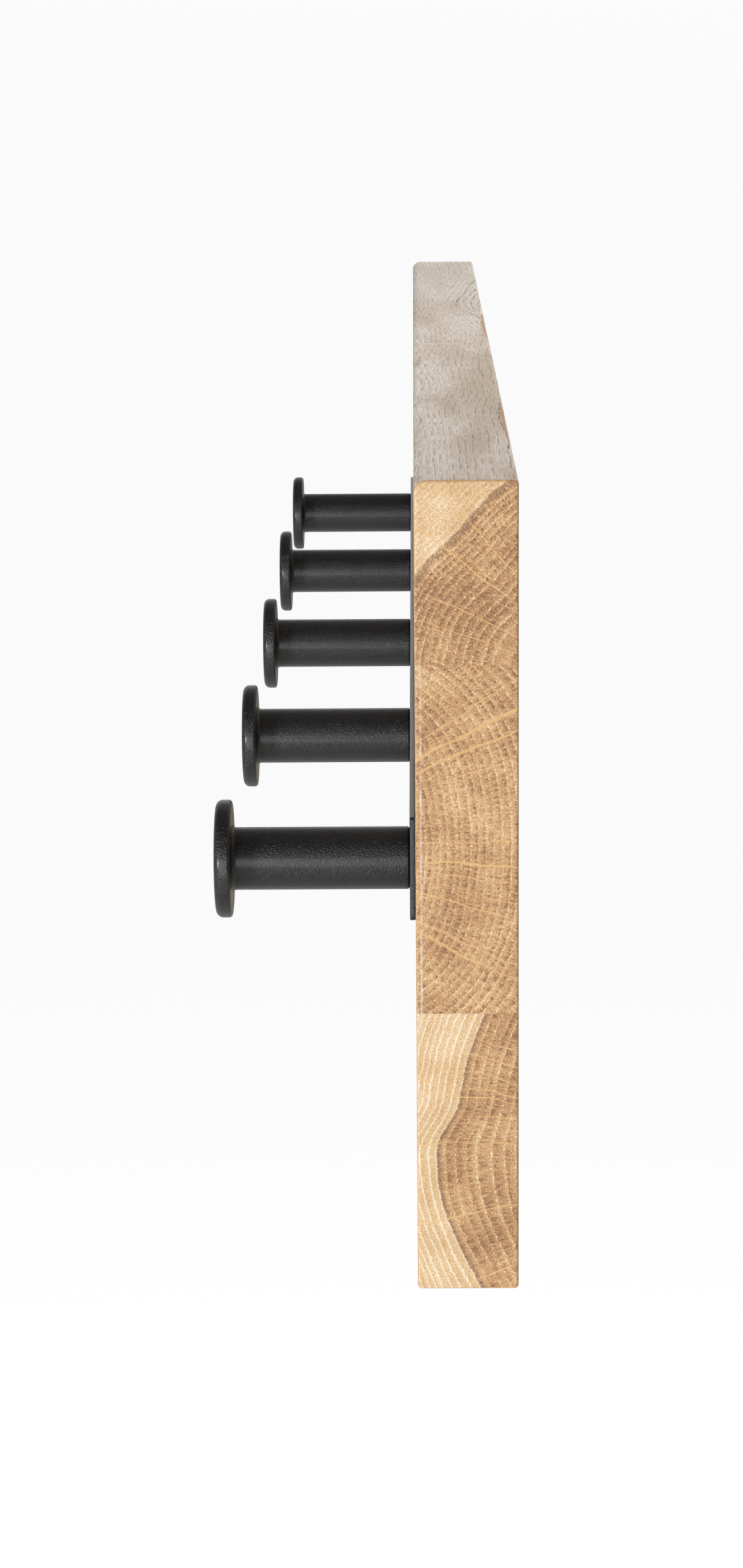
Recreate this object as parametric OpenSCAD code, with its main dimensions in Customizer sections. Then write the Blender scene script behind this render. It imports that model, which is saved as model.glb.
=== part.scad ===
// Wall hook rack: a board glued up from three oak staves, with a flat steel strip along its
// front and a row of turned steel pegs screwed through the strip into the wood.
// X runs along the board, the front faces -Y and Z is up. The origin is the centre of the
// back face, which lies against the wall. All sizes are in millimetres.

/* [Board] */
// Length of the board
board_l = 720; // [700:10:900]
// Height of the board
board_h = 210; // [200:1:240]
// Thickness of the board
board_t = 26; // [24:1:32]
// Height of the top stave
top_stave_h = 46.3; // [40:0.1:52]
// Height of the bottom stave
bottom_stave_h = 73.8; // [50:0.1:80]
// Radius of the long edge at the front of the top
front_edge_r = 3; // [0.5:0.1:5]
// Radius of the three other long edges
edge_r = 1.2; // [0.5:0.1:3]

/* [Strip] */
// Thickness of the strip
strip_t = 1.5; // [1:0.1:3]
// Height of the strip
strip_h = 27.5; // [20:0.5:40]
// How far the strip runs past the axis of each outer peg
strip_overhang = 13.5; // [10:0.5:25]
// Radius of the strip's corners
strip_corner_r = 1; // [0.5:0.1:5]

/* [Pegs] */
// Distance from one peg to the next
peg_pitch = 160; // [120:5:160]
// How far a peg stands out from the strip
peg_reach = 51; // [35:1:80]
// Diameter of a peg's shaft
shaft_d = 16.5; // [12:0.5:18]
// Diameter of a peg's head
head_d = 31; // [24:0.5:36]
// Thickness of a peg's head
head_t = 4.4; // [3:0.1:6]
// Radius of the head's front edge
head_front_r = 1.4; // [0.5:0.1:1.6]
// Radius of the head's rear edge
head_rear_r = 0.9; // [0.4:0.1:1.2]
// Radius of the fillet between the shaft and the head
neck_r = 1.2; // [0.5:0.1:1.5]
// Bevel at the foot of the shaft
foot_bevel = 0.7; // [0.3:0.1:1.5]

/* [Hanger bolts] */
// Thread diameter of a hanger bolt
bolt_d = 6; // [5:0.5:6]
// Length of the bolt inside the peg
bolt_in_peg = 15; // [10:1:20]
// Length of the bolt inside the board
bolt_in_board = 20; // [12:1:21]
// Pitch of the machine thread
machine_pitch = 1; // [0.8:0.1:1.5]
// Pitch of the wood thread
wood_pitch = 2.5; // [2:0.1:3]
// Diameter of the hole in the strip
strip_hole_d = 6.5; // [6.5:0.1:8]

/* [Keyhole plates] */
// Distance between the two keyhole plates
plate_spacing = 480; // [400:10:560]
// Distance of the plates' centres below the top of the board
plate_drop = 24; // [20:0.5:27]
// Length of a plate
plate_l = 50; // [44:1:60]
// Height of a plate
plate_h = 22; // [20:0.5:24]
// Thickness of a plate
plate_t = 2; // [2:0.1:2.5]
// Diameter of the round entry of the keyhole
entry_d = 9; // [8:0.1:10]
// Width of the keyhole's slot
slot_w = 4.8; // [4.2:0.1:5.2]
// How far the slot runs up from the centre of the entry
slot_rise = 7; // [6:0.5:8]
// Depth of the pocket behind the keyhole, from the back of the board
pocket_depth = 10; // [7:0.5:12]

/* [Plate screws] */
// Diameter of a screw's thread
screw_d = 3.5; // [3.5:0.1:4]
// Diameter of a screw's countersunk head
screw_head_d = 7; // [6:0.1:7]
// Length of a screw
screw_l = 16; // [12:1:18]
// Distance between a plate's two screws
screw_spacing = 36; // [32:0.5:36]

/* [Hidden] */
$fn = 96;
PEG_COUNT = 5;
OAK = "burlywood";
COATED = [0.13, 0.13, 0.13];
ZINC = "silver";

board_top = board_h / 2;
upper_glue_z = board_top - top_stave_h;
lower_glue_z = bottom_stave_h - board_top;
strip_l = (PEG_COUNT - 1) * peg_pitch + 2 * strip_overhang;
strip_front = board_t + strip_t;
peg_bore = bolt_in_peg + 1;
board_bore = bolt_in_board + 1;
plate_z = board_top - plate_drop;
entry_drop = 3.5;
pocket_w = entry_d + 3;
pocket_h = 20;
plate_gap = 0.1;
screw_hole_d = screw_d + 0.3;
head_rest_d = screw_head_d + 0.1;
thread_depth = 0.12;
overrun = 0.5;

function peg_x(i) = (i - (PEG_COUNT + 1) / 2) * peg_pitch;

// Runs a profile, drawn with depth across and height up, along the whole length of the board.
module along_x(length) {
    rotate([90, 0, 90]) translate([0, 0, -length / 2]) linear_extrude(length) children();
}

// Points a shape's own +Z to the front, with its foot at a depth inside or in front of the board.
module facing_front(x, depth, z) {
    translate([x, -depth, z]) rotate([90, 0, 0]) children();
}

// Points a shape's own +Z into the board from its back face.
module from_back(x, z) {
    facing_front(x, 0, z) children();
}

// What rounding takes off a corner at the origin whose solid lies at +X and +Y. The same
// shape fills an inside corner as a fillet.
module corner_waste(r) {
    difference() {
        translate([-overrun, -overrun]) square(r + overrun);
        translate([r, r]) circle(r);
    }
}

// A bar with round ends, centred on the origin and lying along X.
module round_ended(length, width) {
    square([length - width, width], center = true);
    for (s = [-1, 1]) translate([s * (length - width) / 2, 0]) circle(d = width);
}

// The wood of one stave between two heights, with the edges of the whole board rounded.
module stave_blank(bottom, top) {
    difference() {
        along_x(board_l) translate([-board_t, bottom]) square([board_t, top - bottom]);
        along_x(board_l + 2 * overrun) {
            translate([-board_t, board_top]) mirror([0, 1]) corner_waste(front_edge_r);
            translate([0, board_top]) mirror([1, 0]) mirror([0, 1]) corner_waste(edge_r);
            translate([-board_t, -board_top]) corner_waste(edge_r);
            translate([0, -board_top]) mirror([1, 0]) corner_waste(edge_r);
        }
    }
}

module board_stave_top() {
    color(OAK) difference() {
        stave_blank(upper_glue_z, board_top);
        for (side = [-1, 1]) plate_recess(side * plate_spacing / 2);
    }
}

module board_stave_middle() {
    color(OAK) difference() {
        stave_blank(lower_glue_z, upper_glue_z);
        for (i = [1:PEG_COUNT])
            facing_front(peg_x(i), board_t - board_bore, 0) cylinder(d = bolt_d, h = board_bore + overrun);
    }
}

module board_stave_bottom() {
    color(OAK) stave_blank(-board_top, lower_glue_z);
}

// The milled seat of a keyhole plate, the deeper pocket for the wall screw's head, and the
// two pilot holes.
module plate_recess(x) {
    from_back(x, plate_z) translate([0, 0, -overrun]) {
        linear_extrude(plate_t + overrun) round_ended(plate_l + 2 * plate_gap, plate_h + 2 * plate_gap);
        linear_extrude(pocket_depth + overrun) rotate(90) round_ended(pocket_h, pocket_w);
        for (s = [-1, 1])
            translate([s * screw_spacing / 2, 0, 0]) cylinder(d = screw_d, h = screw_l + 1);
    }
}

module mounting_strip() {
    color(COATED) facing_front(0, board_t, 0) linear_extrude(strip_t) difference() {
        square([strip_l, strip_h], center = true);
        for (sx = [0, 1], sz = [0, 1])
            mirror([sx, 0]) mirror([0, sz])
                translate([-strip_l / 2, -strip_h / 2]) corner_waste(strip_corner_r);
        for (i = [1:PEG_COUNT]) translate([peg_x(i), 0]) circle(d = strip_hole_d);
    }
}

// Half of a peg's lengthwise section: radius across, distance from the strip up.
module peg_section() {
    shaft_r = shaft_d / 2;
    head_r = head_d / 2;
    neck_z = peg_reach - head_t;
    difference() {
        union() {
            square([shaft_r, neck_z + head_t / 2]);
            translate([0, neck_z]) square([head_r, head_t]);
            translate([shaft_r, neck_z]) mirror([0, 1]) corner_waste(neck_r);
        }
        translate([head_r, peg_reach]) mirror([1, 0]) mirror([0, 1]) corner_waste(head_front_r);
        translate([head_r, neck_z]) mirror([1, 0]) corner_waste(head_rear_r);
        polygon([
            [shaft_r - foot_bevel, 0], [shaft_r - foot_bevel, -overrun],
            [shaft_r + overrun, -overrun], [shaft_r + overrun, foot_bevel], [shaft_r, foot_bevel]
        ]);
        translate([-overrun, -overrun]) square([bolt_d / 2 + overrun, peg_bore + overrun]);
    }
}

module peg(i) {
    color(COATED) facing_front(peg_x(i), strip_front, 0) rotate_extrude() peg_section();
}

// The rings of a thread as points of a half section, from one height to another.
function thread_points(r, pitch, from, to) = [
    for (k = [0:floor((to - from) / pitch) - 1]) for (p = [
        [r - thread_depth * pitch, 0], [r, 0.4], [r, 0.6], [r - thread_depth * pitch, 1]
    ]) [p[0], from + (k + p[1]) * pitch]
];

// A hanger bolt: a wood thread with a point at one end, a machine thread at the other and a
// plain collar between them.
module peg_bolt(i) {
    r = bolt_d / 2;
    point_l = 4;
    tip_r = 0.6;
    end_bevel = 0.8;
    collar_l = 4;
    total = bolt_in_board + strip_t + bolt_in_peg;
    collar_z = bolt_in_board - 1;
    color(ZINC) facing_front(peg_x(i), board_t - bolt_in_board, 0) rotate_extrude() polygon(concat(
        [[0, 0], [tip_r, 0]],
        thread_points(r, wood_pitch, point_l, collar_z),
        [[r, collar_z], [r, collar_z + collar_l]],
        thread_points(r, machine_pitch, collar_z + collar_l, total - end_bevel),
        [[r - end_bevel, total], [0, total]]
    ));
}

module keyhole_plate(x) {
    color(ZINC) from_back(x, plate_z) difference() {
        linear_extrude(plate_t) round_ended(plate_l, plate_h);
        translate([0, 0, -overrun]) linear_extrude(plate_t + 2 * overrun) {
            translate([0, -entry_drop]) circle(d = entry_d);
            translate([-slot_w / 2, -entry_drop]) square([slot_w, slot_rise]);
            translate([0, slot_rise - entry_drop]) circle(d = slot_w);
        }
        for (s = [-1, 1]) translate([s * screw_spacing / 2, 0, 0]) {
            translate([0, 0, -overrun]) cylinder(d = screw_hole_d, h = plate_t + 2 * overrun);
            cylinder(d1 = head_rest_d, d2 = screw_hole_d, h = (head_rest_d - screw_hole_d) / 2);
        }
    }
}

// A countersunk wood screw with a cross recess, its head flush with the back of its plate.
module plate_screw(x) {
    r = screw_d / 2;
    head_r = screw_head_d / 2;
    head_h = head_r - r;
    rim = 0.1;
    pitch = 1.6;
    point_l = 3;
    tip_r = 0.3;
    recess_l = 3.8;
    recess_w = 0.9;
    recess_depth = 1.6;
    color(ZINC) from_back(x, plate_z) difference() {
        rotate_extrude() polygon(concat(
            [[0, 0.05], [head_r - rim, 0.05], [head_r, rim], [r, rim + head_h]],
            thread_points(r, pitch, rim + head_h + pitch, screw_l - point_l),
            [[tip_r, screw_l], [0, screw_l]]
        ));
        for (turn = [0, 90]) rotate(turn) translate([-recess_l / 2, -recess_w / 2, -overrun])
            cube([recess_l, recess_w, recess_depth + overrun]);
    }
}

board_stave_top();
board_stave_middle();
board_stave_bottom();
mounting_strip();
for (i = [1:PEG_COUNT]) {
    peg(i);
    peg_bolt(i);
}
keyhole_plate(-plate_spacing / 2);  // keyhole_plate_left
keyhole_plate(plate_spacing / 2);  // keyhole_plate_right
plate_screw(-(plate_spacing + screw_spacing) / 2);  // plate_screw_left_outer
plate_screw(-(plate_spacing - screw_spacing) / 2);  // plate_screw_left_inner
plate_screw((plate_spacing + screw_spacing) / 2);  // plate_screw_right_outer
plate_screw((plate_spacing - screw_spacing) / 2);  // plate_screw_right_inner
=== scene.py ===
"""Wall hook rack: a glued oak board, a flat black strip and five turned black pegs.

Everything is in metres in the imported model's frame: X runs along the board, the pegs point
to -Y and Z is up. Lengths that are easier to read in millimetres are written as N * MM.
"""

import math

import bmesh
import bpy
from mathutils import Matrix, Vector, noise


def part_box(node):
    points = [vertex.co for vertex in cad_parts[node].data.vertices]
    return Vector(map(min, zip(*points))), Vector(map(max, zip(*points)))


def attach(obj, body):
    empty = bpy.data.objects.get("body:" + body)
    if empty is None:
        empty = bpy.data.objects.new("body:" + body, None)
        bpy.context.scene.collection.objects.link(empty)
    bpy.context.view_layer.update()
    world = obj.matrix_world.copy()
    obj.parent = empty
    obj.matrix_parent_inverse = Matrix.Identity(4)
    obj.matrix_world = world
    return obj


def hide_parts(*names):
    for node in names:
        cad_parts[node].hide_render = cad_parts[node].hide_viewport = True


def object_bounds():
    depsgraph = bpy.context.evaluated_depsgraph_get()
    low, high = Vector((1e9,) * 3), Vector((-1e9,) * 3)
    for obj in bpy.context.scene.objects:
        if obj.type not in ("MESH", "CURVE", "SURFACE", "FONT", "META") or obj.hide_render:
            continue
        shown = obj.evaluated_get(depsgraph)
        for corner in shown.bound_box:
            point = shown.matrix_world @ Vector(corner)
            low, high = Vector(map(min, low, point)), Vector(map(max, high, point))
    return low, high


MM = 0.001
BODY = "root"
PEGS = [f"peg_{i}" for i in range(1, 6)]
BOLTS = [f"peg_bolt_{i}" for i in range(1, 6)]
SIDES = ("left", "right")
SCREW_ENDS = ("outer", "inner")
PLATE_SCREWS = [f"plate_screw_{side}_{end}" for side in SIDES for end in SCREW_ENDS]

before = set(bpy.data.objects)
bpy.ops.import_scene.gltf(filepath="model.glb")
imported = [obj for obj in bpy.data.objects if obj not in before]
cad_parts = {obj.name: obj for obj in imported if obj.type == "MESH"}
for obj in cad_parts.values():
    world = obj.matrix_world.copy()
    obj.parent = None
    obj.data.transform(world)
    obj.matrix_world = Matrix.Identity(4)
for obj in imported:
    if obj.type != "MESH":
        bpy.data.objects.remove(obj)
cad_low, cad_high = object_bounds()


# ---------------------------------------------------------------- camera, stage and light

CAMERA_AT = (1.2510, -0.0254, 0.2243)
CAMERA_TURN = (77.614, 0.479, 90.633)
CAMERA_LENS = 83.65
BACKGROUND = 0.98
FLOOR_DROP = 1.4
FLOOR_RADIUS = 500


def make_camera():
    data = bpy.data.cameras.new("camera")
    data.lens = CAMERA_LENS
    data.clip_start, data.clip_end = 0.05, 2000
    camera = bpy.data.objects.new("camera", data)
    camera.location = CAMERA_AT
    camera.rotation_euler = [math.radians(a) for a in CAMERA_TURN]
    bpy.context.collection.objects.link(camera)
    bpy.context.scene.camera = camera


def area_light(name, place, aim, size, power, glossy=True):
    data = bpy.data.lights.new(name, "AREA")
    data.shape = "RECTANGLE"
    data.size, data.size_y = size
    data.energy = power
    light = bpy.data.objects.new(name, data)
    light.location = place
    light.rotation_euler = (Vector(aim) - Vector(place)).to_track_quat("-Z", "Y").to_euler()
    light.visible_glossy = glossy
    bpy.context.collection.objects.link(light)


def make_world():
    """A white surround that darkens overhead, in front of the board and off its end at +X."""
    world = bpy.data.worlds.new("studio")
    world.use_nodes = True
    g = Graph(world)
    toward_x, toward_wall, up = g.split(g.node("ShaderNodeTexCoord").outputs["Generated"])
    light = g.mul(g.step(up, 0.15, 0.60, 1.0, 0.20), g.step(toward_x, 0.0, 0.5, 1.0, 0.15))
    light = g.mul(light, g.step(toward_wall, -0.6, 0.0, 0.35, 1.0))
    seen = g.node("ShaderNodeLightPath").outputs["Is Camera Ray"]
    g.set(g.shader.inputs["Strength"], g.mul(g.math("MAXIMUM", light, seen), BACKGROUND))
    g.shader.inputs["Color"].default_value = (1, 1, 1, 1)
    bpy.context.scene.world = world
    bpy.context.scene.view_settings.view_transform = "Standard"


def make_floor():
    """A pale floor that looks as bright as the surround but throws less light upward."""
    bm = bmesh.new()
    bmesh.ops.create_circle(bm, cap_ends=True, segments=96, radius=FLOOR_RADIUS)
    bmesh.ops.translate(bm, verts=bm.verts, vec=(0, 0, -FLOOR_DROP))
    floor = mesh_object("floor", bm)
    mat = bpy.data.materials.new("pale_floor")
    g = Graph(mat)
    seen = g.node("ShaderNodeLightPath").outputs["Is Camera Ray"]
    g.set(g.shader.inputs["Emission Strength"], g.step(seen, 0.0, 1.0, 0.35, 0.90))
    g.shader.inputs["Emission Color"].default_value = (1, 1, 1, 1)
    g.shader.inputs["Base Color"].default_value = (0.25, 0.25, 0.25, 1)
    g.shader.inputs["Roughness"].default_value = 0.9
    g.shader.inputs["Specular IOR Level"].default_value = 0.1
    floor.data.materials.append(mat)


# ---------------------------------------------------------------- meshes


SHARP_ANGLE = 40
SHARP_AFTER_CUTS = 50


def mesh_object(name, bm, sharp=SHARP_ANGLE):
    """A smooth-shaded object from a bmesh, with edges sharper than the angle left crisp."""
    bmesh.ops.recalc_face_normals(bm, faces=bm.faces)
    for face in bm.faces:
        face.smooth = True
    mark_sharp(bm, sharp)
    mesh = bpy.data.meshes.new(name)
    bm.to_mesh(mesh)
    bm.free()
    obj = bpy.data.objects.new(name, mesh)
    bpy.context.collection.objects.link(obj)
    return obj


def mark_sharp(bm, degrees):
    """Marks every edge between two faces that turn by more than the angle."""
    limit = math.radians(degrees)
    for edge in bm.edges:
        edge.smooth = not (len(edge.link_faces) == 2 and edge.calc_face_angle(0) > limit)


def arc(centre, radius, start, end, steps=6):
    """Points along a circle from one angle to another, in degrees."""
    turn = [math.radians(start + (end - start) * i / steps) for i in range(steps + 1)]
    return [(centre[0] + radius * math.cos(a), centre[1] + radius * math.sin(a)) for a in turn]


def lathe(profile, segments=96):
    """Turns (radius, height) points round +Z. A point at radius 0 becomes one vertex."""
    bm = bmesh.new()
    rings = []
    for r, h in profile:
        if r < 1e-9:
            rings.append([bm.verts.new((0, 0, h))])
            continue
        angles = [math.tau * i / segments for i in range(segments)]
        rings.append([bm.verts.new((r * math.cos(a), r * math.sin(a), h)) for a in angles])
    for a, b in zip(rings, rings[1:]):
        bridge(bm, a, b)
    return bm


def bridge(bm, a, b):
    """Joins two closed rings of vertices, either of which may be a single point."""
    n = max(len(a), len(b))
    for i in range(n):
        j = (i + 1) % n
        corners = [a[i % len(a)], a[j % len(a)], b[j % len(b)], b[i % len(b)]]
        corners = list(dict.fromkeys(corners))
        if len(corners) > 2:
            bm.faces.new(corners)


def place(bm, at, facing):
    """Turns a mesh made round +Z to face a direction, and moves it there."""
    turn = Vector(facing).to_track_quat("Z", "X").to_matrix().to_4x4()
    bm.transform(Matrix.Translation(at) @ turn)


def prism(outline, low, high):
    """A closed prism over a flat outline of (x, z) points, between two depths along Y."""
    bm = bmesh.new()
    near = [bm.verts.new((x, low, z)) for x, z in outline]
    far = [bm.verts.new((x, high, z)) for x, z in outline]
    bridge(bm, near, far)
    bm.faces.new(near)
    bm.faces.new(far)
    return bm


def carve(obj, cutters):
    """Cuts the closed meshes out of an object, for good."""
    for bm in cutters:
        tool = mesh_object("cutter", bm)
        cut = obj.modifiers.new("cut", "BOOLEAN")
        cut.object = tool
        cut.solver = "EXACT"
        apply_modifiers(obj)
        bpy.data.objects.remove(tool)


def apply_modifiers(obj):
    """Replaces an object's mesh with what its modifiers make of it."""
    graph = bpy.context.evaluated_depsgraph_get()
    graph.update()
    mesh = bpy.data.meshes.new_from_object(obj.evaluated_get(graph))
    old = obj.data
    obj.modifiers.clear()
    obj.data = mesh
    mesh.name = obj.name
    bpy.data.meshes.remove(old)


def soften(obj, width, angle=30, segments=2):
    """Breaks the sharp edges of a hard piece with a small bevel."""
    bevel = obj.modifiers.new("soften", "BEVEL")
    bevel.width = width
    bevel.segments = segments
    bevel.limit_method = "ANGLE"
    bevel.angle_limit = math.radians(angle)
    bevel.use_clamp_overlap = True
    apply_modifiers(obj)


def even_shading(obj):
    """Lets large flat faces keep their own normal beside small rounded ones.

    Cuts and bevels leave new edges, so the sharp ones are marked afresh first.
    """
    bm = bmesh.new()
    bm.from_mesh(obj.data)
    mark_sharp(bm, SHARP_AFTER_CUTS)
    bm.to_mesh(obj.data)
    bm.free()
    weigh = obj.modifiers.new("even_shading", "WEIGHTED_NORMAL")
    weigh.keep_sharp = True
    weigh.weight = 100


def finish_piece(obj, material, node):
    """Gives a visible piece its material and its body, and hides the CAD node it stands for."""
    obj.data.materials.clear()
    obj.data.materials.append(material)
    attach(obj, BODY)
    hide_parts(node)


# ---------------------------------------------------------------- node graphs


class Graph:
    """Short calls that add shader nodes. Inputs may be sockets or plain values."""

    def __init__(self, material):
        material.use_nodes = True
        self.tree = material.node_tree
        self.shader = self.tree.nodes.get("Principled BSDF") or self.tree.nodes["Background"]

    def node(self, kind, inputs=(), **settings):
        made = self.tree.nodes.new(kind)
        for key, value in settings.items():
            setattr(made, key, value)
        for key, value in dict(inputs).items():
            self.set(made.inputs[key], value)
        return made

    def set(self, socket, value):
        if isinstance(value, bpy.types.NodeSocket):
            self.tree.links.new(value, socket)
        elif value is not None:
            socket.default_value = value

    def place_mm(self):
        """Where a point lies in the object's own space, in millimetres."""
        place = self.node("ShaderNodeTexCoord").outputs["Object"]
        return self.scale(place, (1 / MM, 1 / MM, 1 / MM))

    def math(self, op, a, b=None):
        return self.node("ShaderNodeMath", {0: a, 1: b}, operation=op).outputs[0]

    def add(self, a, b):
        return self.math("ADD", a, b)

    def sub(self, a, b):
        return self.math("SUBTRACT", a, b)

    def mul(self, a, b):
        return self.math("MULTIPLY", a, b)

    def scale(self, vector, factors):
        made = self.node("ShaderNodeVectorMath", {0: vector, 1: factors}, operation="MULTIPLY")
        return made.outputs[0]

    def shift(self, vector, by):
        return self.node("ShaderNodeVectorMath", {0: vector, 1: by}, operation="ADD").outputs[0]

    def grow(self, vector, factor):
        """A vector times a value."""
        inputs = {0: vector, "Scale": factor}
        return self.node("ShaderNodeVectorMath", inputs, operation="SCALE").outputs[0]

    def split(self, vector):
        return self.node("ShaderNodeSeparateXYZ", {0: vector}).outputs

    def join(self, x, y, z):
        return self.node("ShaderNodeCombineXYZ", {0: x, 1: y, 2: z}).outputs[0]

    def step(self, value, low, high, out_low=0.0, out_high=1.0):
        """Rises smoothly from one output to the other between two inputs."""
        inputs = {"Value": value, "From Min": low, "From Max": high}
        inputs |= {"To Min": out_low, "To Max": out_high}
        return self.node("ShaderNodeMapRange", inputs, interpolation_type="SMOOTHSTEP").outputs[0]

    def band(self, value, centre, half_width):
        """1 at the centre, falling smoothly to 0 at the half width on either side."""
        away = self.math("ABSOLUTE", self.sub(value, centre))
        return self.step(away, 0.0, half_width, 1.0, 0.0)

    def noise(self, vector, scale=1.0, detail=2.0, rough=0.5, color=False):
        inputs = {"Vector": vector, "Scale": scale, "Detail": detail, "Roughness": rough}
        made = self.node("ShaderNodeTexNoise", inputs)
        return made.outputs["Color" if color else 0]

    def cells(self, vector):
        """How far a point lies from the nearest of many scattered ones, about 1 apart."""
        made = self.node("ShaderNodeTexVoronoi", {"Vector": vector, "Scale": 1.0})
        return made.outputs["Distance"]

    def white(self, value):
        """A random number for each whole number."""
        return self.node("ShaderNodeTexWhiteNoise", {"W": value}, noise_dimensions="1D").outputs[0]

    def mix(self, factor, a, b):
        """One colour at 0 and the other at 1."""
        return self.node("ShaderNodeMix", {0: factor, 6: a, 7: b}, data_type="RGBA").outputs[2]

    def ramp(self, value, stops):
        """A colour that runs through (position, colour from 0 to 255) stops."""
        made = self.node("ShaderNodeValToRGB", {"Fac": value})
        points = made.color_ramp.elements
        while len(points) < len(stops):
            points.new(0.5)
        for point, (position, color) in zip(points, stops):
            point.position = position
            point.color = srgb(*color)
        return made.outputs["Color"]

    def bump(self, height, distance, strength):
        inputs = {"Height": height, "Distance": distance, "Strength": strength}
        return self.node("ShaderNodeBump", inputs).outputs[0]


def srgb(r, g, b):
    """A colour from 0 to 255 as a linear colour for a socket."""
    def linear(c):
        c /= 255
        return c / 12.92 if c <= 0.04045 else ((c + 0.055) / 1.055) ** 2.4
    return (linear(r), linear(g), linear(b), 1.0)


# ---------------------------------------------------------------- wood

HEARTWOOD = [(0.0, (142, 99, 67)), (0.25, (178, 133, 91)), (0.5, (204, 161, 113)),
             (0.75, (224, 187, 139)), (1.0, (244, 220, 178))]
SAPWOOD = [(0.0, (190, 148, 100)), (0.5, (226, 191, 144)), (1.0, (250, 236, 212))]
WIDE_RAY = srgb(235, 190, 128)
HEART_EDGE = srgb(132, 102, 82)
EDGE_AMBER = srgb(214, 160, 98)
LONG_PALE = srgb(238, 227, 212)
LONG_TAN = srgb(202, 182, 157)
LONG_PORE = srgb(112, 84, 56)
LONG_GREY = srgb(196, 191, 185)
WANE = srgb(176, 124, 72)
# The next colour is a painted highlight: a pale line along the front of the end grain.
PAINTED_GLINT = srgb(240, 230, 220)

# Where each stave lay in its tree, in millimetres. pith is the depth of the rings' centre and
# the two heights that it is stretched between. reach is the nearest and the farthest ring
# radius, and spacing the distance between rings at each. sap is the radius where the sapwood
# starts, edge the width of the dark line inside it, and sap_rows how plainly its rings show.
# bulges are steps in the rings' radius: from one height to another, by so much. flat is where
# the rings run straight: a bearing and a half width in degrees, and a depth. The wide rays
# meet at ray_hub, and rays are their bearings in degrees with their widths. shade is the
# tone of the heartwood.
STAVES = {
    "board_stave_top": {
        "seed": 3.0, "shade": 0.36, "pith": (27, 52, 52), "reach": (28, 62),
        "spacing": (3.9, 1.5), "sap": 61.3, "edge": 1.4, "sap_rows": 0.5,
        "flat": (44, 26, 2.9), "bulges": (), "ray_hub": (27, 52),
        "rays": [(38.5, 0.35), (47, 0.25), (26.5, 0.25), (19, 0.2)],
    },
    "board_stave_middle": {
        "seed": 17.0, "shade": 0.45, "pith": (-44.5, 3, 22), "reach": (18, 48),
        "spacing": (1.8, 2.2), "sap": 90.0, "edge": 1.0, "sap_rows": 1.0,
        "flat": None, "bulges": (), "ray_hub": (-67, 13),
        "rays": [(39.5, 0.3), (32, 0.25), (27.7, 0.85), (23.9, 0.6), (18.5, 0.2), (0.5, 0.3),
                 (-5.5, 0.5), (-9, 0.2), (-13, 0.2), (-16.4, 0.4), (-25.6, 0.4), (-28.6, 0.55)],
    },
    "board_stave_bottom": {
        "seed": 29.0, "shade": 0.39, "pith": (75, -67, -67), "reach": (75, 101),
        "spacing": (3.0, 1.7), "sap": 91.0, "edge": 0.8, "sap_rows": 1.0,
        "flat": None, "bulges": ((-54, -68, 5.0), (-76, -105, -2.3)), "ray_hub": (75, -67),
        "rays": [(19, 0.25), (16, 0.35), (13, 0.3), (10.3, 0.45), (9, 0.3), (5.9, 0.25),
                 (0.9, 0.25), (-11.3, 0.35), (-22.4, 0.3)],
    },
}

# Millimetres: the depth of the painted highlight along the front of the end grain, the middle
# of the board's depth, the distance between fine rays and the length of a brick of late wood.
GLINT_LINE_DEPTH = -24.6
MID_DEPTH = -13
HAIR_GAP = 0.75
BRICK = 0.55
RAY_SEED = 1.37
OAK_RELIEF = 0.12 * MM


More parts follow.
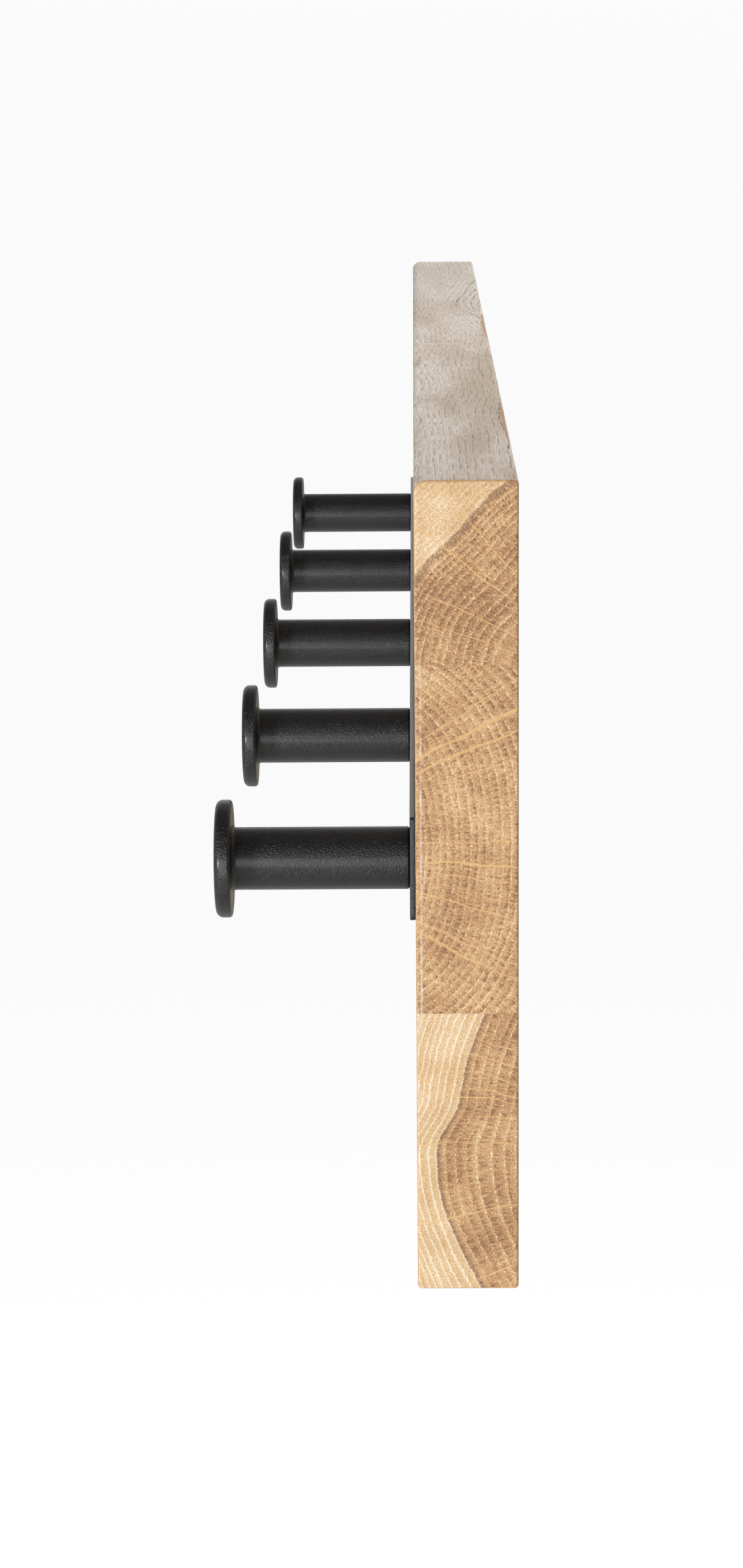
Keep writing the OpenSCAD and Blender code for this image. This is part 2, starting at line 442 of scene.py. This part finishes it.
def growth_rings(g, spec, seeded, place_mm):
    """Where a point of the wood lies among its growth rings."""
    # The pith wanders along the board, away from the end at +X.
    x, _, _ = g.split(place_mm)
    from_end = g.step(x, 350.0, 120.0)
    wander = g.noise(g.scale(seeded, (0.006, 0.002, 0.002)), detail=1.0, color=True)
    wander = g.scale(g.shift(wander, (-0.5, -0.5, -0.5)), (0, 26, 26))
    sway = g.noise(g.scale(seeded, (0.012, 0.06, 0.06)), detail=2.0, color=True)
    sway = g.scale(g.shift(sway, (-0.5, -0.5, -0.5)), (0, 5, 5))
    sway = g.grow(sway, g.step(from_end, 0, 1, 0.3, 1))
    bent = g.shift(g.shift(place_mm, g.grow(wander, from_end)), sway)
    _, y, z = g.split(bent)

    depth, low, high = spec["pith"]
    side = 1 if depth > 0 else -1
    across = g.mul(g.sub(y, depth), -side)
    rise = g.sub(z, g.step(z, low - 25.0, high + 25.0, low, high))
    radius = g.math("SQRT", g.add(g.mul(across, across), g.mul(rise, rise)))
    crinkle = g.sub(g.noise(g.scale(seeded, (0.05, 0.9, 0.9)), detail=2.0), 0.5)
    radius = g.add(radius, g.mul(crinkle, 0.8))
    if spec["flat"]:
        bearing, half_width, depth = spec["flat"]
        degrees = g.mul(g.math("ARCTAN2", rise, across), 180 / math.pi)
        radius = g.add(radius, g.mul(g.band(degrees, bearing, half_width), depth))
    for start, end, depth in spec["bulges"]:
        bulge = g.mul(g.step(z, start, end, 0.0, -depth), g.step(y, 0.0, -20.0, 0.3, 1.0))
        radius = g.add(radius, bulge)

    # Rings are counted so that their spacing changes steadily across the stave.
    first, last = spec["reach"]
    density = [1 / s for s in spec["spacing"]]
    slope = (density[1] - density[0]) / (last - first) / 2
    out = g.sub(radius, first)
    count = g.mul(out, g.add(g.mul(out, slope), density[0]))
    years = g.noise(g.join(g.mul(radius, 0.30), spec["seed"], 0.5), detail=1.0)
    count = g.add(count, g.mul(years, 0.9))
    ring = g.math("FLOOR", count)
    into = g.sub(count, ring)
    sap = spec["sap"]
    return {
        "count": count,
        "early": g.mul(g.step(into, 0.0, 0.10), g.step(into, 0.14, 0.36, 1.0, 0.0)),
        "late": g.step(into, 0.30, 0.90),
        "strength": g.add(g.mul(g.white(g.add(ring, spec["seed"])), 0.6), 0.4),
        "sap": g.step(radius, sap - 0.2, sap + 0.3),
        "heart_edge": g.band(radius, sap - 0.55 * spec["edge"], spec["edge"]),
    }


def oak(node):
    """Solid oak: rings round a pith, so that end grain and long grain belong together."""
    spec = STAVES[node]
    seed = spec["seed"]
    material = bpy.data.materials.new("oak_" + node.removeprefix("board_stave_"))
    g = Graph(material)
    place_mm = g.place_mm()
    seeded = g.shift(place_mm, (seed * 37, seed * 11, seed * 5))
    rings = growth_rings(g, spec, seeded, place_mm)
    middle = sum(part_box(node)[i][2] for i in (0, 1)) / 2 / MM

    end = end_grain(g, spec, middle, seeded, place_mm, rings)
    long, pores = long_grain(g, seeded, place_mm, rings)
    facing = g.split(g.node("ShaderNodeNewGeometry").outputs["Normal"])[0]
    facing = g.math("ABSOLUTE", facing)
    ends = g.step(facing, 0.5, 0.75)
    color = g.mix(ends, long, end)
    color = g.mix(g.mul(g.band(facing, 0.55, 0.4), 0.75), color, EDGE_AMBER)
    wane = g.node("ShaderNodeAttribute", attribute_name="wane").outputs["Fac"]
    mottle = g.noise(g.scale(seeded, (0.1, 0.6, 0.6)), detail=3.0)
    color = g.mix(g.mul(wane, g.step(mottle, 0.25, 0.6, 0.5, 1.0)), color, WANE)
    _, y, z = g.split(place_mm)
    # A painted highlight: a pale line down the front of the end grain, where its eased front edge
    # catches the light, broken up by the mottle.
    glint_line = g.mul(g.band(y, GLINT_LINE_DEPTH, 0.45), g.mul(g.step(z, 70, 45), g.step(z, -50, -20)))
    glint_line = g.mul(glint_line, g.mul(ends, g.step(mottle, 0.35, 0.6, 0.15, 0.65)))
    color = g.mix(glint_line, color, PAINTED_GLINT)
    g.set(g.shader.inputs["Base Color"], color)
    rough = g.add(g.mul(ends, 0.14), g.add(g.mul(mottle, 0.12), 0.40))
    g.set(g.shader.inputs["Roughness"], rough)
    g.shader.inputs["Specular IOR Level"].default_value = 0.5
    relief = g.sub(g.mul(rings["early"], 0.35), g.mul(pores, 1.0))
    g.set(g.shader.inputs["Normal"], g.bump(relief, OAK_RELIEF, 0.8))
    return material


def end_grain(g, spec, middle, seeded, place_mm, rings):
    """Cream rows of large pores, brown late wood between them and pale rays across both."""
    early, late, strength = rings["early"], rings["late"], rings["strength"]
    hub_y, hub_z = spec["ray_hub"]
    side = 1 if hub_y > MID_DEPTH else -1
    _, y, z = g.split(place_mm)
    across = g.mul(g.sub(y, hub_y), -side)
    rise = g.sub(z, hub_z)
    angle = g.math("ARCTAN2", rise, across)
    hub_distance = g.math("SQRT", g.add(g.mul(across, across), g.mul(rise, rise)))
    span = math.hypot(hub_y - MID_DEPTH, hub_z - middle)
    ray_seed = spec["seed"] * RAY_SEED

    # Fine rays cross the rings every millimetre or so and chop the late wood into bricks.
    fan = g.join(g.mul(angle, span / HAIR_GAP), g.mul(hub_distance, 0.15), ray_seed)
    hairline = g.band(g.noise(fan, detail=1.0), 0.5, 0.09)
    courses = g.join(g.mul(angle, span / BRICK), g.mul(rings["count"], 1.3), ray_seed)
    brick = g.step(g.noise(courses, detail=1.0), 0.33, 0.58)
    cloud = g.sub(g.noise(g.scale(seeded, (0.02, 0.09, 0.09)), detail=2.0), 0.5)
    grain = g.sub(g.noise(g.scale(seeded, (0.15, 2.2, 2.2)), detail=3.0, rough=0.7), 0.5)
    bead = g.step(g.cells(g.scale(seeded, (0.12, 2.1, 2.1))), 0.60, 0.22)

    row = g.mul(g.mul(early, g.add(g.mul(bead, 0.75), 0.10)), strength)
    shade = g.mul(g.mul(g.mul(late, brick), g.sub(1.0, g.mul(hairline, 0.75))), strength)
    tone = g.add(g.mul(cloud, 0.85), g.mul(grain, 1.75))
    heart = g.add(g.add(tone, spec["shade"]), g.sub(row, g.mul(shade, 0.50)))
    heart = g.add(heart, g.mul(hairline, 0.11))
    sap_row = g.mul(g.mul(early, g.add(g.mul(bead, 0.25), 0.35)), 1.15 * spec["sap_rows"])
    sap = g.add(g.add(tone, 0.43), g.sub(sap_row, g.mul(shade, 0.20 * spec["sap_rows"])))
    specks = g.step(g.cells(g.scale(seeded, (0.2, 1.1, 1.1))), 0.26, 0.12)
    sap = g.sub(sap, g.mul(specks, 0.5 * (1 - spec["sap_rows"])))
    wood = g.mix(rings["sap"], g.ramp(heart, HEARTWOOD), g.ramp(sap, SAPWOOD))
    patchy = g.step(grain, -0.12, 0.08, 1.0, 0.35)
    wood = g.mix(g.mul(g.mul(rings["heart_edge"], patchy), 0.85), wood, HEART_EDGE)

    # Wide rays, each a thin wedge on its own bearing that fades in and out along its length.
    bend = g.mul(g.sub(g.noise(g.scale(seeded, (0.02, 0.10, 0.10)), detail=0.0), 0.5), 0.03)
    bearing = g.add(angle, bend)
    rays = None
    for i, (degrees, width) in enumerate(spec["rays"]):
        off = g.mul(g.sub(bearing, math.radians(degrees)), hub_distance)
        fade = g.noise(g.join(g.mul(hub_distance, 0.07), i * 7.3, 1.7), detail=0.0)
        ray = g.mul(g.band(off, 0.0, width * 0.9), g.step(fade, 0.25, 0.45, 0.45, 1.0))
        rays = ray if rays is None else g.math("MAXIMUM", rays, ray)
    return g.mix(g.mul(rays, 0.8), wood, WIDE_RAY)


def long_grain(g, seeded, place_mm, rings):
    """Planed faces: pale, with open pores drawn out along the board in the early wood."""
    x, _, _ = g.split(place_mm)
    cloud = g.noise(g.scale(seeded, (0.008, 0.05, 0.05)), detail=2.0)
    base = g.mix(g.step(cloud, 0.35, 0.65), LONG_PALE, LONG_TAN)
    base = g.mix(g.step(x, 60.0, -300.0, 0.0, 0.55), base, LONG_GREY)
    base = g.mix(g.mul(rings["late"], 0.35), base, LONG_TAN)
    streak = g.noise(g.scale(seeded, (0.10, 2.2, 2.2)), detail=2.0, rough=0.6)
    fibre = g.noise(g.scale(seeded, (0.05, 5.0, 5.0)), detail=2.0)
    base = g.mix(g.step(fibre, 0.4, 0.7, 0.0, 0.30), base, LONG_PORE)
    pores = g.mul(g.step(streak, 0.45, 0.55), g.add(g.mul(rings["early"], 0.70), 0.30))
    pores = g.mul(pores, g.sub(1.0, g.mul(rings["sap"], 0.35)))
    return g.mix(pores, base, LONG_PORE), pores


# ---------------------------------------------------------------- metal


COAT_DARK = srgb(13, 13, 14)
COAT_LIGHT = srgb(26, 26, 27)
COAT_RELIEF = 0.34 * MM
ZINC_COOL = srgb(190, 193, 198)
ZINC_WARM = srgb(205, 203, 192)
ZINC_RELIEF = 0.02 * MM


def powder_coat():
    """Black fine-textured powder coat: a satin skin of small soft grains."""
    material = bpy.data.materials.new("black_powder_coat")
    g = Graph(material)
    place_mm = g.place_mm()
    grains = g.noise(place_mm, 2.2, detail=1.0, rough=0.5)
    fine = g.noise(place_mm, 5.0, detail=1.0, rough=0.5)
    broad = g.noise(place_mm, 0.25, detail=2.0)
    g.set(g.shader.inputs["Base Color"], g.mix(g.step(grains, 0.35, 0.7), COAT_DARK, COAT_LIGHT))
    rough = g.add(g.mul(fine, 0.10), g.add(g.mul(broad, 0.06), 0.26))
    g.set(g.shader.inputs["Roughness"], rough)
    g.shader.inputs["Specular IOR Level"].default_value = 0.5
    g.shader.inputs["Coat Weight"].default_value = 0.4
    g.shader.inputs["Coat Roughness"].default_value = 0.23
    height = g.add(g.mul(grains, 0.8), g.mul(fine, 0.4))
    g.set(g.shader.inputs["Normal"], g.bump(height, COAT_RELIEF, 1.0))
    return material


def zinc():
    """Bright zinc plate over steel: cool metal with soft blotches and fine scratches."""
    material = bpy.data.materials.new("zinc_plate")
    g = Graph(material)
    place_mm = g.place_mm()
    blotch = g.noise(place_mm, 0.35, detail=3.0)
    scratch = g.noise(g.scale(place_mm, (0.3, 3.0, 9.0)), 1.0, detail=2.0)
    g.set(g.shader.inputs["Base Color"], g.mix(g.step(blotch, 0.35, 0.7), ZINC_COOL, ZINC_WARM))
    g.shader.inputs["Metallic"].default_value = 1.0
    rough = g.add(g.mul(blotch, 0.2), g.add(g.mul(scratch, 0.15), 0.12))
    g.set(g.shader.inputs["Roughness"], rough)
    g.set(g.shader.inputs["Normal"], g.bump(scratch, ZINC_RELIEF, 0.5))
    return material


# ---------------------------------------------------------------- board

FRONT_RADIUS = 3.0 * MM
BACK_RADIUS = 1.2 * MM
GLUE_EASE = 0.12 * MM
END_RADIUS = 0.7 * MM
CORNER_STEPS = 6
STATIONS = 180
EDGE_WOBBLE = 0.22
NICK_DEPTH = 0.1 * MM

# Where the top back edge keeps a strip of the tree's outside: from, to and depth in millimetres.
WANE_SPANS = ((-105, -5, 1.9), (185, 285, 1.5))


def hump(value, low, high):
    """0 outside a span and 1 at its middle, with a flat top."""
    t = (value - low) / (high - low)
    return 0.0 if t <= 0 or t >= 1 else math.sin(math.pi * t) ** 0.7


def stave_corners(low, high, is_top, is_bottom):
    """Corner radii of a stave's section, anticlockwise from the front bottom."""
    return [
        BACK_RADIUS if is_bottom else GLUE_EASE,
        BACK_RADIUS if is_bottom else GLUE_EASE,
        BACK_RADIUS if is_top else GLUE_EASE,
        FRONT_RADIUS if is_top else GLUE_EASE,
    ]


def stave_section(x, inward, low, high, radii, back_top_cut):
    """The section of a stave at x, drawn in near its ends: (y, z, wane) round its outline."""
    points = []
    joined_below, joined_above = radii[0] == GLUE_EASE, radii[2] == GLUE_EASE
    y0, y1 = low.y + inward, high.y - inward
    z0 = low.z + (0.0 if joined_below else inward)
    z1 = high.z - (0.0 if joined_above else inward)
    centres = [(y0, z0, 1, 1), (y1, z0, -1, 1), (y1, z1, -1, -1), (y0, z1, 1, -1)]
    for k, ((cy, cz, sy, sz), radius) in enumerate(zip(centres, radii)):
        wobble = noise.noise(Vector((x * 22, k * 9.7, low.z * 50)))
        r = max(radius * (1 + EDGE_WOBBLE * wobble) - inward, 0.5 * GLUE_EASE)
        wane = 0.0
        if k == 2 and back_top_cut > 0:
            wane = min(1.0, back_top_cut / MM)
            r = max(r, back_top_cut)
        for i in range(CORNER_STEPS + 1):
            a = math.radians(180 + 90 * k + 90 * i / CORNER_STEPS)
            nick = NICK_DEPTH * max(0.0, noise.noise(Vector((x * 160, i * 0.6, k * 5.1))) - 0.25)
            nick = nick if radius > GLUE_EASE else 0.0
            y = cy + sy * r + (r - nick) * math.cos(a)
            z = cz + sz * r + (r - nick) * math.sin(a)
            points.append((y, z, wane if 0 < i < CORNER_STEPS else 0.0))
    return points


def make_stave(node):
    """A stave lofted along the board through sections that vary a little."""
    low, high = (Vector(c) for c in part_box(node))
    is_top = high.z > cad_high.z - MM
    is_bottom = low.z < cad_low.z + MM
    radii = stave_corners(low, high, is_top, is_bottom)
    ease = [END_RADIUS * (1 - math.cos(math.radians(a))) for a in (0, 22.5, 45, 67.5, 90)]
    between = high.x - low.x - 2 * END_RADIUS
    inner = [low.x + END_RADIUS + between * i / STATIONS for i in range(STATIONS + 1)]
    stations = [(low.x + d, inset(d)) for d in ease[:-1]]
    stations += [(x, 0.0) for x in inner]
    stations += [(high.x - d, inset(d)) for d in reversed(ease[:-1])]
    bm = bmesh.new()
    layer = bm.verts.layers.float.new("wane")
    rings = []
    for x, inward in stations:
        cut = 0.0
        if is_top:
            cut = max(depth * MM * hump(x / MM, a, b) for a, b, depth in WANE_SPANS)
        ring = []
        for y, z, wane in stave_section(x, inward, low, high, radii, cut):
            vert = bm.verts.new((x, y, z))
            vert[layer] = wane
            ring.append(vert)
        rings.append(ring)
    for a, b in zip(rings, rings[1:]):
        bridge(bm, a, b)
    bm.faces.new(rings[0])
    bm.faces.new(rings[-1])
    return mesh_object(node.replace("board_stave", "oak_stave"), bm)


def inset(d):
    """How far the outline has drawn in at a distance from the end, for a rounded end edge."""
    return END_RADIUS - math.sqrt(max(0.0, END_RADIUS**2 - (END_RADIUS - d) ** 2))


def round_ended(length, width, centre_x, centre_z, upright=False, steps=16):
    """Outline of a bar with round ends, as (x, z) points."""
    r, half = width / 2, (length - width) / 2
    right = arc((half, 0), r, -90, 90, steps)
    left = arc((-half, 0), r, 90, 270, steps)
    points = right + left
    if upright:
        points = [(-b, a) for a, b in points]
    return [(centre_x + a, centre_z + b) for a, b in points]


def make_board():
    for node in STAVES:
        stave = make_stave(node)
        if node == "board_stave_top":
            carve(stave, plate_pockets())
        if node == "board_stave_middle":
            carve(stave, bolt_holes())
        even_shading(stave)
        finish_piece(stave, oak(node), node)


PLATE_GAP = 0.1 * MM
POCKET_DEPTH = 10 * MM
POCKET_SIZE = (20 * MM, 12 * MM)
PILOT_DEPTH = 17 * MM
PILOT_RADIUS = 1.75 * MM
OVERRUN = 0.5 * MM
BOARD_BORE = 21 * MM


def plate_pockets():
    """The seat of each keyhole plate, the pocket behind its keyhole and the pilot holes."""
    cutters = []
    for side in SIDES:
        low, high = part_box("keyhole_plate_" + side)
        cx, cz = (low[0] + high[0]) / 2, (low[2] + high[2]) / 2
        length, width = high[0] - low[0] + 2 * PLATE_GAP, high[2] - low[2] + 2 * PLATE_GAP
        cutters.append(prism(round_ended(length, width, cx, cz), low[1], OVERRUN))
        pocket = round_ended(*POCKET_SIZE, cx, cz, upright=True)
        cutters.append(prism(pocket, -POCKET_DEPTH, OVERRUN))
        for end in SCREW_ENDS:
            a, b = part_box(f"plate_screw_{side}_{end}")
            hole = arc(((a[0] + b[0]) / 2, cz), PILOT_RADIUS, 0, 360, 24)[:-1]
            cutters.append(prism(hole, -PILOT_DEPTH, OVERRUN))
    return cutters


def bolt_holes():
    """The hole of each hanger bolt, from the front of the middle stave."""
    cutters = []
    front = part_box("board_stave_middle")[0][1]
    for bolt in BOLTS:
        low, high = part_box(bolt)
        centre = ((low[0] + high[0]) / 2, (low[2] + high[2]) / 2)
        hole = arc(centre, (high[0] - low[0]) / 2, 0, 360, 32)[:-1]
        cutters.append(prism(hole, front - OVERRUN, front + BOARD_BORE))
    return cutters


# ---------------------------------------------------------------- strip and pegs

STRIP_EDGE = 0.35 * MM
STRIP_CORNER = 1.0 * MM
STRIP_HOLE = 3.25 * MM


def make_strip(material):
    low, high = (Vector(c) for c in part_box("mounting_strip"))
    corners = [
        (high.x, high.z, 0), (low.x, high.z, 90), (low.x, low.z, 180), (high.x, low.z, 270),
    ]
    outline = []
    for x, z, start in corners:
        inward_x = -STRIP_CORNER if start in (0, 270) else STRIP_CORNER
        inward_z = -STRIP_CORNER if start in (0, 90) else STRIP_CORNER
        outline += arc((x + inward_x, z + inward_z), STRIP_CORNER, start, start + 90, 5)
    strip = mesh_object("steel_strip", prism(outline, low.y, high.y))
    soften(strip, STRIP_EDGE, 50, 3)
    holes = []
    for peg in PEGS:
        a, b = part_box(peg)
        hole = arc(((a[0] + b[0]) / 2, (a[2] + b[2]) / 2), STRIP_HOLE, 0, 360, 32)[:-1]
        holes.append(prism(hole, low.y - OVERRUN, high.y + OVERRUN))
    carve(strip, holes)
    even_shading(strip)
    finish_piece(strip, material, "mounting_strip")


SHAFT_RADIUS = 8.25 * MM
HEAD_THICKNESS = 4.4 * MM
HEAD_FRONT = 1.9 * MM
HEAD_REAR = 0.9 * MM
NECK_RADIUS = 1.2 * MM
FOOT_BEVEL = 0.7 * MM
FACE_DOME = 0.15 * MM
BORE_RADIUS = 3.0 * MM
BORE_DEPTH = 16 * MM
BORE_CHAMFER = 0.4 * MM


def peg_profile(head_radius, reach):
    """Half section of a peg, from the bottom of its bore round to the middle of its face."""
    neck = reach - HEAD_THICKNESS
    face = reach - FACE_DOME
    points = [(0, BORE_DEPTH), (BORE_RADIUS, BORE_DEPTH), (BORE_RADIUS, BORE_CHAMFER)]
    points.append((BORE_RADIUS + BORE_CHAMFER, 0))
    points += arc((SHAFT_RADIUS - FOOT_BEVEL, FOOT_BEVEL), FOOT_BEVEL, -90, 0, 4)
    points += [(SHAFT_RADIUS, neck * t) for t in (0.25, 0.5, 0.75)]
    points += arc((SHAFT_RADIUS + NECK_RADIUS, neck - NECK_RADIUS), NECK_RADIUS, 180, 90, 6)
    points += arc((head_radius - HEAD_REAR, neck + HEAD_REAR), HEAD_REAR, -90, 0, 6)
    points += arc((head_radius - HEAD_FRONT, face - HEAD_FRONT), HEAD_FRONT, 0, 88, 9)
    flat = head_radius - HEAD_FRONT
    points += [(flat * t, reach - FACE_DOME * t * t) for t in (0.8, 0.55, 0.3)]
    points.append((0, reach))
    return points


def make_pegs(material):
    for peg in PEGS:
        low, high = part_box(peg)
        centre = ((low[0] + high[0]) / 2, high[1], (low[2] + high[2]) / 2)
        bm = lathe(peg_profile((high[0] - low[0]) / 2, high[1] - low[1]))
        place(bm, centre, (0, -1, 0))
        obj = mesh_object("turned_" + peg, bm, sharp=50)
        even_shading(obj)
        finish_piece(obj, material, peg)


# ---------------------------------------------------------------- fittings on the back


PLATE_EDGE = 0.2 * MM
KEYHOLE_RADIUS = 4.5 * MM
KEYHOLE_DROP = 3.5 * MM
SLOT_SIZE = (11.8 * MM, 4.8 * MM)
SINK_RADIUS = 3.55 * MM
SINK_DEPTH = 1.65 * MM
SCREW_HOLE = 1.9 * MM


def make_plates(material):
    for side in SIDES:
        node = "keyhole_plate_" + side
        low, high = (Vector(c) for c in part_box(node))
        cx, cz = (low.x + high.x) / 2, (low.z + high.z) / 2
        plate = mesh_object("keyhole_hanger_" + side, prism(
            round_ended(high.x - low.x, high.z - low.z, cx, cz, steps=24), low.y, high.y))
        entry = arc((cx, cz - KEYHOLE_DROP), KEYHOLE_RADIUS, 0, 360, 48)[:-1]
        slot = round_ended(*SLOT_SIZE, cx, cz, upright=True)
        holes = [prism(o, low.y - OVERRUN, high.y + OVERRUN) for o in (entry, slot)]
        for end in SCREW_ENDS:
            a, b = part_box(f"plate_screw_{side}_{end}")
            sink = lathe([
                (0, -OVERRUN), (SINK_RADIUS + OVERRUN, -OVERRUN), (SCREW_HOLE, SINK_DEPTH),
                (SCREW_HOLE, 2 * SINK_DEPTH), (0, 2 * SINK_DEPTH),
            ], 40)
            place(sink, ((a[0] + b[0]) / 2, 0, cz), (0, -1, 0))
            holes.append(sink)
        carve(plate, holes)
        soften(plate, PLATE_EDGE, 35)
        even_shading(plate)
        finish_piece(plate, material, node)


def make_camera_and_stage():
    make_camera()
    make_world()
    make_floor()
    area_light("key", (5.0, -1.0, -0.25), (0.3, -0.03, 0.0), (1.6, 2.4), 78)
    area_light("front", (2.6, -2.2, 0.05), (0.3, -0.05, 0.0), (0.5, 0.3), 68)
    area_light("top", (-1.2, 0.5, 1.9), (0, 0, 0), (1.4, 1.4), 55, glossy=False)


def carry_over(names, material):
    """CAD nodes whose shape is already right get their finish only."""
    for name in names:
        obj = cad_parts[name]
        obj.data.materials.clear()
        obj.data.materials.append(material)


make_camera_and_stage()
make_board()
coat = powder_coat()
make_strip(coat)
make_pegs(coat)
plating = zinc()
make_plates(plating)
carry_over(BOLTS, plating)
carry_over(PLATE_SCREWS, plating)
